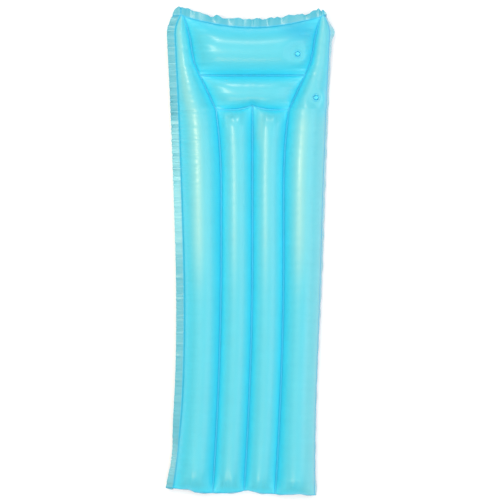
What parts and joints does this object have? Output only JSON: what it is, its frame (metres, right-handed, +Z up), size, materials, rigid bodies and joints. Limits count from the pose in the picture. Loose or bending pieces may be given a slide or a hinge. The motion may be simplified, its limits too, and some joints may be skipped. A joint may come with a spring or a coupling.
{
  "type": "pool air mattress",
  "caption": "Inflatable pool mattress of clear blue film with lengthwise tubes, a raised head pillow between two horns, a wrinkled weld rim and push-in stem valves.",
  "frame": {"origin": "on the floor under the middle of the mattress's bounding box", "axes": "+X across to the side with the valves, +Y along to the pillow end, +Z up out of the lying side"},
  "size_m": [0.6105, 1.7743, 0.0998],
  "materials": {
    "film": "glossy see-through soft vinyl film, wrinkled along its welds",
    "valve": "soft moulded vinyl, satin"
  },
  "bodies": {
    "mat": {"top_sheet": "film", "bottom_sheet": "film", "body_valve_flange": "valve", "body_valve_web": "valve", "pillow_valve_flange": "valve", "pillow_valve_web": "valve"},
    "body_valve_neck": {"body_valve_neck": "valve"},
    "body_valve_plug": {"body_valve_plug": "valve"},
    "body_valve_flap": {"body_valve_flap": "valve"},
    "pillow_valve_neck": {"pillow_valve_neck": "valve"},
    "pillow_valve_plug": {"pillow_valve_plug": "valve"},
    "pillow_valve_flap": {"pillow_valve_flap": "valve"}
  },
  "joints": [
    {"name": "body_valve_pull_out", "type": "slide", "parent": "mat", "child": "body_valve_neck", "axis": [0, 0, 1], "range_m": [0, 0.012], "deforming": ["body_valve_web"]},
    {"name": "body_valve_cap_hinge", "type": "hinge", "parent": "body_valve_neck", "child": "body_valve_plug", "pos_m": [0.2417, 0.55248, 0.06838], "axis": [0, -1, 0], "range_deg": [0, 120]},
    {"name": "body_valve_flap_hinge", "type": "hinge", "parent": "body_valve_neck", "child": "body_valve_flap", "pos_m": [0.2559, 0.55248, 0.05263], "axis": [0, -1, 0], "range_deg": [0, 60], "stiffness_Nm_per_rad": 0.00005, "springref_deg": -11.46},
    {"name": "pillow_valve_pull_out", "type": "slide", "parent": "mat", "child": "pillow_valve_neck", "axis": [0, 0, 1], "range_m": [0, 0.012], "deforming": ["pillow_valve_web"]},
    {"name": "pillow_valve_cap_hinge", "type": "hinge", "parent": "pillow_valve_neck", "child": "pillow_valve_plug", "pos_m": [0.17411, 0.71101, 0.08207], "axis": [0, -1, 0], "range_deg": [0, 120]},
    {"name": "pillow_valve_flap_hinge", "type": "hinge", "parent": "pillow_valve_neck", "child": "pillow_valve_flap", "pos_m": [0.18831, 0.71101, 0.06632], "axis": [0, -1, 0], "range_deg": [0, 60], "stiffness_Nm_per_rad": 0.00005, "springref_deg": -11.46}
  ]
}
